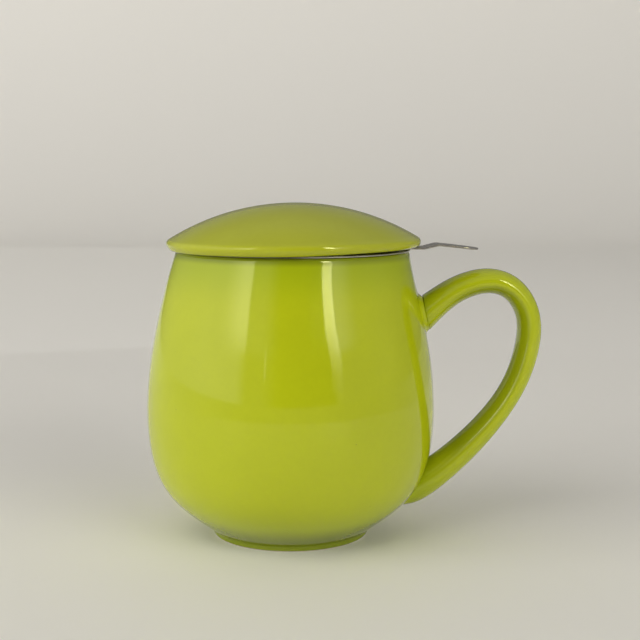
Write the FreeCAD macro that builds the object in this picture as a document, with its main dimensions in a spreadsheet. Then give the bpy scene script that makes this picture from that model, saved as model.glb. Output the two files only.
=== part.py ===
import FreeCAD, Part
import Sketcher
import math
import os

# Lidded tea mug with a lift-out infuser.
# Frame: origin at the centre of the foot, on the plane the mug stands on.
# +Z up, +X towards the handle and the infuser tab, +Y away from the viewer.
# All lengths in millimetres, angles in degrees.

V = FreeCAD.Vector
doc = FreeCAD.newDocument("tea_mug")
sheet = doc.addObject("Spreadsheet::Sheet", "dims")
CELL = {}


class Q:
    """A number with the spreadsheet expression that gives it."""

    def __init__(self, value, text):
        self.v = float(value)
        self.e = text

    def __add__(self, o):
        o = o if isinstance(o, Q) else Q(o, repr(float(o)))
        return Q(self.v + o.v, "(" + self.e + " + " + o.e + ")")

    def __sub__(self, o):
        o = o if isinstance(o, Q) else Q(o, repr(float(o)))
        return Q(self.v - o.v, "(" + self.e + " - " + o.e + ")")

    def __mul__(self, o):
        o = o if isinstance(o, Q) else Q(o, repr(float(o)))
        return Q(self.v * o.v, "(" + self.e + " * " + o.e + ")")

    def __truediv__(self, o):
        o = o if isinstance(o, Q) else Q(o, repr(float(o)))
        return Q(self.v / o.v, "(" + self.e + " / " + o.e + ")")


ZERO = Q(0, "0")


def dims(rows):
    for alias, value in rows:
        row = len(CELL) + 1
        sheet.set("A%d" % row, alias)
        sheet.set("B%d" % row, repr(float(value)))
        sheet.setAlias("B%d" % row, alias)
        CELL[alias] = float(value)


def c(alias):
    return Q(CELL[alias], "dims." + alias)


# ---------------------------------------------------------------- dimensions
dims([
    # foot ring and floor of the mug
    ("foot_recess_up", 1.4), ("foot_recess_rad", 19.2),
    ("foot_face_inner_rad", 20.6), ("foot_face_outer_rad", 24.1),
    ("foot_side_rad", 24.5), ("foot_edge_up", 0.4), ("foot_neck_up", 1.6),
    ("foot_fillet", 0.7), ("floor_up", 6.3), ("floor_flat_rad", 14.0),
    # lip: a round between the outer and the inner wall; the outer wall still
    # leans in by 8 degrees where it meets the round
    ("rim_round", 1.65), ("rim_inner_rad", 33.65), ("rim_spring_up", 87.9),
    ("rim_outer_lean", 8.0),
])
dims([
    ("rim_crest_rad", CELL["rim_inner_rad"] + CELL["rim_round"]),
    ("rim_outer_rad", CELL["rim_inner_rad"] + CELL["rim_round"]
     * (1.0 + math.cos(math.radians(CELL["rim_outer_lean"])))),
    ("rim_outer_up", CELL["rim_spring_up"] + CELL["rim_round"]
     * math.sin(math.radians(CELL["rim_outer_lean"]))),
])
# control points of the outer wall between foot and lip
OUTER = [(29.24, 5.16), (41.23, 12.63), (45.51, 31.54), (44.93, 50.27),
         (41.55, 69.40), (37.658, 82.98)]
# control points of the inner wall between floor and lip
INNER = [(21.84, 6.30), (30.96, 10.33), (40.39, 22.37), (41.62, 39.95),
         (40.55, 55.87), (36.99, 71.97), (33.65, 82.60)]
for i, (r, z) in enumerate(OUTER):
    dims([("outer_pole_rad_%d" % i, r), ("outer_pole_up_%d" % i, z)])
for i, (r, z) in enumerate(INNER):
    dims([("inner_pole_rad_%d" % i, r), ("inner_pole_up_%d" % i, z)])

# Handle: stations of its centre line (out, up), direction of the line there,
# half thickness in the plane of the handle and half width across it.
HANDLE = [
    (33.01, 62.19, 42.0, 6.01, 7.45),
    (37.43, 66.09, 40.9, 5.60, 7.40),
    (41.91, 69.92, 40.3, 4.93, 7.31),
    (46.46, 73.67, 37.8, 4.36, 7.19),
    (51.35, 76.96, 29.1, 4.07, 7.05),
    (56.77, 79.23, 15.8, 3.95, 6.89),
    (62.60, 79.97, -2.8, 3.87, 6.75),
    (68.18, 78.29, -31.8, 3.78, 6.64),
    (72.33, 74.16, -56.6, 3.71, 6.56),
    (74.60, 68.76, -77.8, 3.71, 6.50),
    (74.96, 62.89, -93.8, 3.74, 6.46),
    (74.05, 57.07, -103.0, 3.75, 6.44),
    (72.39, 51.42, -110.0, 3.70, 6.43),
    (70.02, 46.02, -117.3, 3.66, 6.44),
    (67.02, 40.95, -123.6, 3.69, 6.46),
    (63.55, 36.19, -128.3, 3.83, 6.49),
    (59.74, 31.69, -132.2, 4.04, 6.53),
    (55.65, 27.45, -135.6, 4.26, 6.60),
    (51.34, 23.43, -138.5, 4.50, 6.69),
    (46.80, 19.66, -142.4, 4.81, 6.80),
    (41.97, 16.29, -148.1, 5.18, 6.90),
    (36.72, 13.62, -159.0, 5.11, 6.98),
    (31.00, 12.31, -176.1, 3.76, 7.05),
]
for i, (x, z, a, t, w) in enumerate(HANDLE):
    dims([("handle_out_%d" % i, x), ("handle_up_%d" % i, z),
          ("handle_turn_%d" % i, a), ("handle_half_thick_%d" % i, t),
          ("handle_half_wide_%d" % i, w)])
dims([
    # upper root: the handle is joined to a low boss that stands off the wall
    ("boss_low_up", 58.0), ("boss_tall", 26.0),
    ("boss_low_rad", 45.1), ("boss_high_rad", 39.05),
    ("boss_core_low_rad", 41.7), ("boss_core_high_rad", 35.6),
    ("boss_fillet", 1.3),
    # lid: dome, rounded edge, flat land, groove and locating ring
    ("lid_edge_rad", 39.5), ("lid_tall", 13.7), ("lid_edge_round", 1.49),
    ("lid_thick", 4.3),
    ("lid_land_inner_rad", 34.3), ("lid_groove_up", 1.5),
    ("lid_groove_outer_rad", 33.0), ("lid_ring_outer_rad", 30.0),
    ("lid_ring_inner_rad", 27.2), ("lid_ring_deep", 5.0),
    ("lid_shift", 0.83), ("lid_seat_up", 90.57), ("lid_lean", 0.65),
    # infuser rim: flat flange with a short drawn neck
    ("flange_rad", 37.0), ("flange_low_up", 89.60), ("flange_thick", 0.5),
    ("neck_outer_rad", 32.3), ("neck_end_up", 84.2), ("neck_bend", 1.3),
    # lifting tab
    ("tab_thick", 0.7), ("tab_wide", 11.0), ("tab_inner_end", 33.3),
    ("tab_bend_out", 41.2), ("tab_crest_out", 45.6), ("tab_crest_lift", 1.1),
    ("tab_tip_out", 58.4), ("tab_tip_drop", 0.3), ("tab_tip_round", 5.3),
    ("tab_inner_round", 1.5),
    # basket wall and base
    ("sheet_thick", 0.4), ("basket_top_up", 88.9), ("basket_top_rad", 31.77),
    ("basket_taper_up", 83.6), ("basket_low_up", 31.3),
    ("basket_low_rad", 28.6), ("base_rim_tall", 3.4), ("base_gap", 0.03),
    ("base_step_rad", 25.4), ("base_step_inner_rad", 24.2),
    ("base_step_lift", 0.9),
])
doc.recompute()


# ------------------------------------------------------------------- helpers
def origin_plane(body, role):
    for f in body.Origin.OriginFeatures:
        if f.Role == role:
            return f
    raise RuntimeError("no plane " + role)


def new_sketch(body, name, role="XZ_Plane"):
    sk = body.newObject("Sketcher::SketchObject", name)
    sk.AttachmentSupport = [(origin_plane(body, role), "")]
    sk.MapMode = "FlatFace"
    return sk


def pin_point(sk, geo, pos, x, y):
    """Tie a point of the sketch to two sheet values."""
    if x.v == 0.0:
        sk.addConstraint(Sketcher.Constraint("PointOnObject", geo, pos, -2))
    else:
        i = sk.addConstraint(Sketcher.Constraint(
            "DistanceX", -1, 1, geo, pos, x.v))
        sk.setExpression("Constraints[%d]" % i, x.e)
    if y.v == 0.0:
        sk.addConstraint(Sketcher.Constraint("PointOnObject", geo, pos, -1))
    else:
        i = sk.addConstraint(Sketcher.Constraint(
            "DistanceY", -1, 1, geo, pos, y.v))
        sk.setExpression("Constraints[%d]" % i, y.e)


def clamped_spline(points):
    """Cubic spline with end control points on the curve, even knots."""
    n = len(points)
    inner = n - 4
    knots = [k / float(inner + 1) for k in range(inner + 2)]
    mults = [4] + [1] * inner + [4]
    s = Part.BSplineCurve()
    s.buildFromPolesMultsKnots([V(a, b, 0) for a, b in points],
                               mults, knots, False, 3)
    return s


def profile(sk, chain):
    """Closed outline. chain holds corners ((x, y), kind, extra), where kind
    says how the outline goes on from that corner: 'line', 'spline' with its
    inner control points, or 'arc' with its centre and a mid point."""
    n = len(chain)
    first = sk.GeometryCount
    starts = []
    for k in range(n):
        (x, y), kind, extra = chain[k]
        x2, y2 = chain[(k + 1) % n][0]
        a, b = V(x.v, y.v, 0), V(x2.v, y2.v, 0)
        if kind == "line":
            g = sk.addGeometry(Part.LineSegment(a, b), False)
            starts.append((g, 1, 2))
        elif kind == "spline":
            pts = [(x.v, y.v)] + [(p[0].v, p[1].v) for p in extra] + [(x2.v, y2.v)]
            g = sk.addGeometry(clamped_spline(pts), False)
            starts.append((g, 1, 2))
        elif kind == "arc":
            m = V(extra[1][0], extra[1][1], 0)
            # a sketch keeps its arcs counter-clockwise
            ccw = (m - a).cross(b - m).z > 0
            g = sk.addGeometry(Part.Arc(a, m, b) if ccw else Part.Arc(b, m, a),
                               False)
            starts.append((g, 1, 2) if ccw else (g, 2, 1))
    for k in range(n):
        g, s, e = starts[k]
        g2, s2, e2 = starts[(k + 1) % n]
        sk.addConstraint(Sketcher.Constraint("Coincident", g, e, g2, s2))
    for k in range(n):
        (x, y), kind, extra = chain[k]
        g, s, e = starts[k]
        pin_point(sk, g, s, x, y)
    for k in range(n):
        (x, y), kind, extra = chain[k]
        g, s, e = starts[k]
        if kind == "arc":
            # the ends are tied already, so the centre's height closes the arc
            i = sk.addConstraint(Sketcher.Constraint(
                "DistanceY", -1, 1, g, 3, extra[0].v))
            sk.setExpression("Constraints[%d]" % i, extra[0].e)
        elif kind == "spline":
            before = sk.GeometryCount
            sk.exposeInternalGeometry(g)
            for j, p in enumerate(extra):
                # circle 'before + 0' marks the start point itself
                pin_point(sk, before + 1 + j, 3, p[0], p[1])
    return first


def revolve(body, sk, name):
    rev = body.newObject("PartDesign::Revolution", name)
    rev.Profile = sk
    rev.ReferenceAxis = (sk, ["V_Axis"])
    rev.Angle = 360.0
    doc.recompute()
    return rev


def ring_edges(shape, wanted):
    """Names of the circular edges about Z with the given (radius, height)."""
    out = []
    for i, e in enumerate(shape.Edges):
        if e.Degenerated:
            continue
        cv = e.Curve
        if not isinstance(cv, Part.Circle):
            continue
        for r, z in wanted:
            if abs(cv.Radius - r) < 0.02 and abs(cv.Center.z - z) < 0.02:
                out.append("Edge%d" % (i + 1))
    return out


def pd_fillet(body, base, wanted, size, name):
    names = ring_edges(base.Shape, wanted)
    if len(names) != len(wanted):
        raise RuntimeError("%s: found %s for %s" % (name, names, wanted))
    f = body.newObject("PartDesign::Fillet", name)
    f.Base = (base, names)
    f.setExpression("Radius", size.e)
    f.Radius = size.v
    doc.recompute()
    return f


# ------------------------------------------------------------------ mug wall
outer_poles = [(c("outer_pole_rad_%d" % i), c("outer_pole_up_%d" % i))
               for i in range(len(OUTER))]
inner_poles = [(c("inner_pole_rad_%d" % i), c("inner_pole_up_%d" % i))
               for i in range(len(INNER))]
foot = [
    ((ZERO, c("foot_recess_up")), "line", None),
    ((c("foot_recess_rad"), c("foot_recess_up")), "line", None),
    ((c("foot_face_inner_rad"), ZERO), "line", None),
    ((c("foot_face_outer_rad"), ZERO), "line", None),
    ((c("foot_side_rad"), c("foot_edge_up")), "line", None),
    ((c("foot_side_rad"), c("foot_neck_up")), "spline", outer_poles),
]

shell = doc.addObject("PartDesign::Body", "mug_wall")
sk = new_sketch(shell, "mug_wall_outline")
profile(sk, foot + [
    ((c("rim_outer_rad"), c("rim_outer_up")), "arc",
     (c("rim_spring_up"), (CELL["rim_crest_rad"],
                           CELL["rim_spring_up"] + CELL["rim_round"]))),
    ((c("rim_inner_rad"), c("rim_spring_up")), "spline", inner_poles[::-1]),
    ((c("floor_flat_rad"), c("floor_up")), "line", None),
    ((ZERO, c("floor_up")), "line", None),
])
doc.recompute()
wall_rev = revolve(shell, sk, "mug_wall_turned")
pd_fillet(shell, wall_rev,
          [(CELL["foot_side_rad"], CELL["foot_neck_up"])],
          c("foot_fillet"), "mug_foot_fillet")

# The same outer wall as a full solid, used to trim the handle.
env = doc.addObject("PartDesign::Body", "mug_envelope")
sk = new_sketch(env, "mug_envelope_outline")
profile(sk, foot + [
    ((c("rim_outer_rad"), c("rim_outer_up")), "line", None),
    ((ZERO, c("rim_outer_up")), "line", None),
])
doc.recompute()
revolve(env, sk, "mug_envelope_turned")

# -------------------------------------------------------------------- handle
sections = []
for i in range(len(HANDLE)):
    el = doc.addObject("Part::Ellipse", "handle_section_%02d" % i)
    a = math.radians(CELL["handle_turn_%d" % i])
    along = V(math.cos(a), 0, math.sin(a))
    wide = V(0, 1, 0)
    thick = along.cross(wide)
    rot = FreeCAD.Rotation(wide, thick, along, "ZXY")
    el.Placement = FreeCAD.Placement(
        V(CELL["handle_out_%d" % i], 0, CELL["handle_up_%d" % i]), rot)
    el.setExpression("Placement.Base.x", c("handle_out_%d" % i).e)
    el.setExpression("Placement.Base.z", c("handle_up_%d" % i).e)
    el.MajorRadius = CELL["handle_half_wide_%d" % i]
    el.MinorRadius = CELL["handle_half_thick_%d" % i]
    el.setExpression("MajorRadius", c("handle_half_wide_%d" % i).e)
    el.setExpression("MinorRadius", c("handle_half_thick_%d" % i).e)
    sections.append(el)
loft = doc.addObject("Part::Loft", "handle_long")
loft.Sections = sections
loft.Solid = True
loft.Ruled = False
loft.Closed = False


def cone(name, low, high):
    k = doc.addObject("Part::Cone", name)
    k.setExpression("Radius1", c(low).e)
    k.setExpression("Radius2", c(high).e)
    k.setExpression("Height", c("boss_tall").e)
    k.setExpression("Placement.Base.z", c("boss_low_up").e)
    return k


boss_cone = cone("boss_reach", "boss_low_rad", "boss_high_rad")
core_cone = cone("boss_core", "boss_core_low_rad", "boss_core_high_rad")
doc.recompute()

boss_out = doc.addObject("Part::Common", "boss_outside")
boss_out.Base, boss_out.Tool = loft, boss_cone
boss = doc.addObject("Part::Cut", "handle_boss")
boss.Base, boss.Tool = boss_out, core_cone
wall_boss = doc.addObject("Part::Fuse", "mug_wall_with_boss")
wall_boss.Base, wall_boss.Tool = shell, boss

trim = doc.addObject("Part::Fuse", "handle_trim")
trim.Base, trim.Tool = env, boss_cone
handle_cut = doc.addObject("Part::Cut", "handle_trimmed")
handle_cut.Base, handle_cut.Tool = loft, trim
doc.recompute()



def edges_where(shape, test):
    return [i + 1 for i, e in enumerate(shape.Edges)
            if not e.Degenerated and test(e)]


def part_fillet(name, base, numbers, size):
    f = doc.addObject("Part::Fillet", name)
    f.Base = base
    f.Edges = [(n, size.v, size.v) for n in numbers]
    doc.recompute()
    return f


def on_boss_foot(e):
    """Edges where the boss leaves the wall: beside the handle, off the seam."""
    b = e.BoundBox
    if b.XMin < 38.5 or b.ZMin < 62.0 or b.ZMax > 75.5 or e.Length < 3.0:
        return False
    if type(e.Curve).__name__ == "Line":
        return False
    for k in range(5):
        u = e.FirstParameter + (e.LastParameter - e.FirstParameter) * k / 4.0
        p = e.valueAt(u)
        z0, dz = CELL["boss_low_up"], CELL["boss_tall"]
        r = CELL["boss_low_rad"] + (CELL["boss_high_rad"] - CELL["boss_low_rad"]) * (p.z - z0) / dz
        if math.hypot(p.x, p.y) > r - 0.8:
            return False
    return True


# The handle is luted to the boss; the boss runs into the wall with a fillet.
foot_edges = edges_where(wall_boss.Shape, on_boss_foot)
if len(foot_edges) < 2:
    raise RuntimeError("boss foot edges not found")
mug = part_fillet("mug_body", wall_boss, foot_edges, c("boss_fillet"))
handle = handle_cut

# ----------------------------------------------------------------------- lid
# A dome tangent to its rounded edge. The dome's centre lies on the axis.
tall, edge_r = CELL["lid_tall"], CELL["lid_edge_rad"]
rho, thick = CELL["lid_edge_round"], CELL["lid_thick"]
a, b = edge_r - rho, tall - rho
dome = (a * a + b * b - rho * rho) / (2.0 * (b - rho))
centre = tall - dome
swing = math.atan2(a, rho - centre)
inner = dome - thick
ring_in = CELL["lid_ring_inner_rad"]
dims([
    ("lid_dome_centre_up", centre),
    ("lid_blend_rad", dome * math.sin(swing)),
    ("lid_blend_up", centre + dome * math.cos(swing)),
    ("lid_ceiling_up", centre + math.sqrt(inner ** 2 - ring_in ** 2)),
])
doc.recompute()
lid = doc.addObject("PartDesign::Body", "lid")
sk = new_sketch(lid, "lid_outline")
half = 0.5 * math.asin(ring_in / inner)
mid_edge = (math.pi / 2 - swing - math.pi / 2) / 2.0
profile(sk, [
    ((ZERO, c("lid_tall") - c("lid_thick")), "arc",
     (c("lid_dome_centre_up"),
      (inner * math.sin(half), centre + inner * math.cos(half)))),
    ((c("lid_ring_inner_rad"), c("lid_ceiling_up")), "line", None),
    ((c("lid_ring_inner_rad"), ZERO - c("lid_ring_deep")), "line", None),
    ((c("lid_ring_outer_rad"), ZERO - c("lid_ring_deep")), "line", None),
    ((c("lid_ring_outer_rad"), c("lid_groove_up")), "line", None),
    ((c("lid_groove_outer_rad"), c("lid_groove_up")), "line", None),
    ((c("lid_land_inner_rad"), ZERO), "line", None),
    ((c("lid_edge_rad") - c("lid_edge_round"), ZERO), "arc",
     (c("lid_edge_round"),
      (a + rho * math.cos(mid_edge), rho + rho * math.sin(mid_edge)))),
    ((c("lid_blend_rad"), c("lid_blend_up")), "arc",
     (c("lid_dome_centre_up"),
      (dome * math.sin(swing / 2), centre + dome * math.cos(swing / 2)))),
    ((ZERO, c("lid_tall")), "line", None),
])
doc.recompute()
lid_rev = revolve(lid, sk, "lid_turned")
f = pd_fillet(lid, lid_rev, [(CELL["lid_ring_inner_rad"], -CELL["lid_ring_deep"]),
                             (CELL["lid_ring_outer_rad"], -CELL["lid_ring_deep"])],
              Q(1.2, "1.2"), "lid_ring_nose")
f = pd_fillet(lid, f, [(CELL["lid_ring_inner_rad"], CELL["lid_ceiling_up"])],
              Q(2.5, "2.5"), "lid_ceiling_fillet")
f = pd_fillet(lid, f, [(CELL["lid_ring_outer_rad"], CELL["lid_groove_up"]),
                       (CELL["lid_groove_outer_rad"], CELL["lid_groove_up"]),
                       (CELL["lid_land_inner_rad"], 0.0)],
              Q(0.7, "0.7"), "lid_groove_fillet")
# The lid leans: its left side lies on the flange, its right side on the tab.
lid.Placement = FreeCAD.Placement(
    V(CELL["lid_shift"], 0, CELL["lid_seat_up"]),
    FreeCAD.Rotation(V(0, -1, 0), CELL["lid_lean"]))
lid.setExpression("Placement.Base.x", c("lid_shift").e)
lid.setExpression("Placement.Base.z", c("lid_seat_up").e)

# ------------------------------------------------------------- infuser rim
rim = doc.addObject("PartDesign::Body", "infuser_rim")
sk = new_sketch(rim, "infuser_rim_outline")
t = c("flange_thick")
low = c("flange_low_up")
high = low + t
bend_c_up = high - c("neck_bend")
bend_c_out = c("neck_outer_rad") - t + c("neck_bend")
s45 = math.sqrt(0.5)
ro, ri = CELL["neck_bend"], CELL["neck_bend"] - t.v
profile(sk, [
    ((c("neck_outer_rad") - t, c("neck_end_up")), "line", None),
    ((c("neck_outer_rad"), c("neck_end_up")), "line", None),
    ((c("neck_outer_rad"), bend_c_up), "arc",
     (bend_c_up, (bend_c_out.v - ri * s45, bend_c_up.v + ri * s45))),
    ((bend_c_out, low), "line", None),
    ((c("flange_rad"), low), "line", None),
    ((c("flange_rad"), high), "line", None),
    ((bend_c_out, high), "arc",
     (bend_c_up, (bend_c_out.v - ro * s45, bend_c_up.v + ro * s45))),
    ((c("neck_outer_rad") - t, bend_c_up), "line", None),
])
doc.recompute()
rim_rev = revolve(rim, sk, "infuser_rim_turned")
pd_fillet(rim, rim_rev, [(CELL["flange_rad"], low.v), (CELL["flange_rad"], high.v)],
          Q(0.18, "0.18"), "infuser_rim_deburr")

# ------------------------------------------------------------- infuser tab
tab = doc.addObject("PartDesign::Body", "infuser_tab")
sk = new_sketch(tab, "infuser_tab_side")
tt = c("tab_thick")
under = [(c("tab_inner_end"), high), (c("tab_bend_out"), high),
         (c("tab_crest_out"), high + c("tab_crest_lift")),
         (c("tab_tip_out"), high - c("tab_tip_drop"))]
over = [(x, z + tt) for x, z in under]
profile(sk, [((x, z), "line", None) for x, z in under + over[::-1]])
doc.recompute()
pad = tab.newObject("PartDesign::Pad", "infuser_tab_strip")
pad.Profile = sk
pad.SideType = "Symmetric"
pad.setExpression("Length", c("tab_wide").e)
doc.recompute()


def upright(e, x, slack=0.05):
    b = e.BoundBox
    return (type(e.Curve).__name__ == "Line" and b.YLength < 0.01
            and b.XLength < 0.01 and abs(b.XMin - x) < slack)


def across(e, pts):
    b = e.BoundBox
    if type(e.Curve).__name__ != "Line" or b.YLength < 5 or b.XLength > 0.01:
        return False
    return any(abs(b.XMin - p[0].v) < 0.02 and abs(b.ZMin - p[1].v) < 0.02
               for p in pts)


f = pad
for label, test, size in [
        ("infuser_tab_tip", lambda e: upright(e, CELL["tab_tip_out"]), c("tab_tip_round")),
        ("infuser_tab_heel", lambda e: upright(e, CELL["tab_inner_end"]), c("tab_inner_round")),
        ("infuser_tab_bends", lambda e: across(e, under[1:3] + over[1:3]), Q(4.0, "4.0"))]:
    names = ["Edge%d" % n for n in edges_where(f.Shape, test)]
    g = tab.newObject("PartDesign::Fillet", label)
    g.Base = (f, names)
    g.Radius = size.v
    g.setExpression("Radius", size.e)
    doc.recompute()
    f = g
    print(label, names)

# ------------------------------------------------------------ basket wall
wall = doc.addObject("PartDesign::Body", "infuser_wall")
sk = new_sketch(wall, "infuser_wall_outline")
st = c("sheet_thick")
profile(sk, [
    ((c("basket_low_rad") - st, c("basket_low_up")), "line", None),
    ((c("basket_low_rad"), c("basket_low_up")), "line", None),
    ((c("basket_top_rad"), c("basket_taper_up")), "line", None),
    ((c("basket_top_rad"), c("basket_top_up")), "line", None),
    ((c("basket_top_rad") - st, c("basket_top_up")), "line", None),
    ((c("basket_top_rad") - st, c("basket_taper_up")), "line", None),
])
doc.recompute()
revolve(wall, sk, "infuser_wall_turned")

# ------------------------------------------------------------ basket base
base = doc.addObject("PartDesign::Body", "infuser_base")
sk = new_sketch(base, "infuser_base_outline")
slope = ((c("basket_top_rad") - c("basket_low_rad"))
         / (c("basket_taper_up") - c("basket_low_up")))
skirt = c("base_rim_tall") - st
in_low = c("basket_low_rad") + c("base_gap")
in_high = in_low + slope * skirt
zb = c("basket_low_up") - st
profile(sk, [
    ((ZERO, zb + c("base_step_lift")), "line", None),
    ((c("base_step_inner_rad"), zb + c("base_step_lift")), "line", None),
    ((c("base_step_rad"), zb), "line", None),
    ((in_low + st, zb), "line", None),
    ((in_high + st, zb + c("base_rim_tall")), "line", None),
    ((in_high, zb + c("base_rim_tall")), "line", None),
    ((in_low, c("basket_low_up")), "line", None),
    ((c("base_step_rad"), c("basket_low_up")), "line", None),
    ((c("base_step_inner_rad"), c("basket_low_up") + c("base_step_lift")), "line", None),
    ((ZERO, c("basket_low_up") + c("base_step_lift")), "line", None),
])
doc.recompute()
base_rev = revolve(base, sk, "infuser_base_turned")
pd_fillet(base, base_rev, [((in_low + st).v, zb.v)], Q(0.38, "0.38"),
          "infuser_base_corner")
doc.recompute()

# -------------------------------------------------------------------- export
nodes = [("mug_body", mug), ("mug_handle", handle), ("lid", lid),
         ("infuser_rim", rim), ("infuser_tab", tab),
         ("infuser_wall", wall), ("infuser_base", base)]
bad = []
for o in doc.Objects:
    for flag in o.State:
        if flag in ("Invalid", "Error"):
            bad.append((o.Name, flag))
if bad:
    raise RuntimeError("failed objects: %s" % bad)
for name, o in nodes:
    o.Label = name
    sh = o.Shape
    if sh.isNull() or not sh.isValid() or len(sh.Solids) != 1 or sh.Volume <= 0:
        raise RuntimeError("bad shape: " + name)
os.makedirs("parts", exist_ok=True)
for name, o in nodes:
    o.Shape.exportStep("parts/%s.step" % name)
    bb = o.Shape.BoundBox
    print("%-13s volume %9.1f  x %.2f..%.2f  y %.2f..%.2f  z %.2f..%.2f" % (
        name, o.Shape.Volume, bb.XMin, bb.XMax, bb.YMin, bb.YMax, bb.ZMin, bb.ZMax))
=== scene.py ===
import math

import bpy
import numpy as np
from mathutils import Matrix, Vector
from mathutils.geometry import delaunay_2d_cdt


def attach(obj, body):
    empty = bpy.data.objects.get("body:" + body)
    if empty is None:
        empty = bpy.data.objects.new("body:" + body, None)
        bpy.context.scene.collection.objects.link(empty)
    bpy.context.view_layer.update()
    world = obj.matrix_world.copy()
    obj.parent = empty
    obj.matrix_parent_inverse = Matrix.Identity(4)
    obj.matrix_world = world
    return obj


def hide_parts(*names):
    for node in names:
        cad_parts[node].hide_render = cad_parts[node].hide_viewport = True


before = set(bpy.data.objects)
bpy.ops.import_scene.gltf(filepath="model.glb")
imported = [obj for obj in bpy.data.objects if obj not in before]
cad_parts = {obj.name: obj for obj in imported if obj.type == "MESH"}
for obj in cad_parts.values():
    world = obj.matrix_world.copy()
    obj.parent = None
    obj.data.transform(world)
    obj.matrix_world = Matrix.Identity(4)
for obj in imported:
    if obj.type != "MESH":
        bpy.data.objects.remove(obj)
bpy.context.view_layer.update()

MM = 0.001
TAU = 2.0 * math.pi


# ------------------------------------------------------------ outline tools
def clamped_spline(poles, n=900):
    """Points along a cubic spline that starts and ends on its end poles."""
    p = np.array(poles, float)
    m = len(p)
    inner = m - 4
    knots = np.array([0.0] * 4 + [(k + 1) / (inner + 1.0) for k in range(inner)]
                     + [1.0] * 4)
    t = np.linspace(0.0, 1.0, n)
    t[-1] = 1.0 - 1e-12
    b = [((t >= knots[i]) & (t < knots[i + 1])).astype(float)
         for i in range(len(knots) - 1)]
    for k in (1, 2, 3):
        nb = []
        for i in range(len(knots) - 1 - k):
            left = knots[i + k] - knots[i]
            right = knots[i + k + 1] - knots[i + 1]
            s = np.zeros_like(t)
            if left > 0:
                s = s + (t - knots[i]) / left * b[i]
            if right > 0:
                s = s + (knots[i + k + 1] - t) / right * b[i + 1]
            nb.append(s)
        b = nb
    out = sum(b[i][:, None] * p[i] for i in range(m))
    out[-1] = p[-1]
    return out


def even(points, step):
    """The same line with points an even distance apart."""
    p = np.array(points, float)
    d = np.concatenate([[0.0], np.cumsum(np.hypot(*np.diff(p, axis=0).T))])
    n = max(2, int(round(d[-1] / step)) + 1)
    s = np.linspace(0.0, d[-1], n)
    return np.stack([np.interp(s, d, p[:, 0]), np.interp(s, d, p[:, 1])], 1)


def rounded(points, radii, segs=7):
    """A line of straight runs with an arc at each corner that has a radius."""
    p = [np.array(q, float) for q in points]
    out = [p[0]]
    for i in range(1, len(p) - 1):
        r = radii[i]
        if r <= 0:
            out.append(p[i])
            continue
        u, v = p[i - 1] - p[i], p[i + 1] - p[i]
        u, v = u / np.hypot(*u), v / np.hypot(*v)
        half = 0.5 * math.acos(max(-1.0, min(1.0, float(u @ v))))
        reach = r / math.tan(half)
        mid = (u + v) / np.hypot(*(u + v))
        c = p[i] + mid * (r / math.sin(half))
        a, b = p[i] + u * reach, p[i] + v * reach
        ta = math.atan2(*(a - c)[::-1])
        tb = math.atan2(*(b - c)[::-1])
        while tb - ta > math.pi:
            tb -= TAU
        while tb - ta < -math.pi:
            tb += TAU
        for k in range(segs + 1):
            t = ta + (tb - ta) * k / segs
            out.append(c + r * np.array([math.cos(t), math.sin(t)]))
    out.append(p[-1])
    return np.array(out)


def split_runs(points, longest):
    """Adds points on runs longer than the given length."""
    out = [np.array(points[0], float)]
    for q in points[1:]:
        q = np.array(q, float)
        n = max(1, int(math.ceil(np.hypot(*(q - out[-1])) / longest)))
        a = out[-1]
        for k in range(1, n + 1):
            out.append(a + (q - a) * k / n)
    return np.array(out)


def arc(centre, radius, a0, a1, n):
    t = np.radians(np.linspace(a0, a1, n + 1))
    return np.stack([centre[0] + radius * np.cos(t),
                     centre[1] + radius * np.sin(t)], 1)


def cubic(xs, ys):
    """Natural cubic through (xs, ys); returns a function."""
    xs, ys = np.array(xs, float), np.array(ys, float)
    n = len(xs)
    h = np.diff(xs)
    a = np.zeros((n, n))
    r = np.zeros(n)
    a[0, 0] = a[-1, -1] = 1.0
    for i in range(1, n - 1):
        a[i, i - 1], a[i, i], a[i, i + 1] = h[i - 1], 2 * (h[i - 1] + h[i]), h[i]
        r[i] = 6 * ((ys[i + 1] - ys[i]) / h[i] - (ys[i] - ys[i - 1]) / h[i - 1])
    m = np.linalg.solve(a, r)

    def f(x):
        x = np.asarray(x, float)
        i = np.clip(np.searchsorted(xs, x) - 1, 0, n - 2)
        d0, d1, hh = x - xs[i], xs[i + 1] - x, h[i]
        return (m[i] * d1 ** 3 / (6 * hh) + m[i + 1] * d0 ** 3 / (6 * hh)
                + (ys[i] / hh - m[i] * hh / 6) * d1
                + (ys[i + 1] / hh - m[i + 1] * hh / 6) * d0)
    return f


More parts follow.
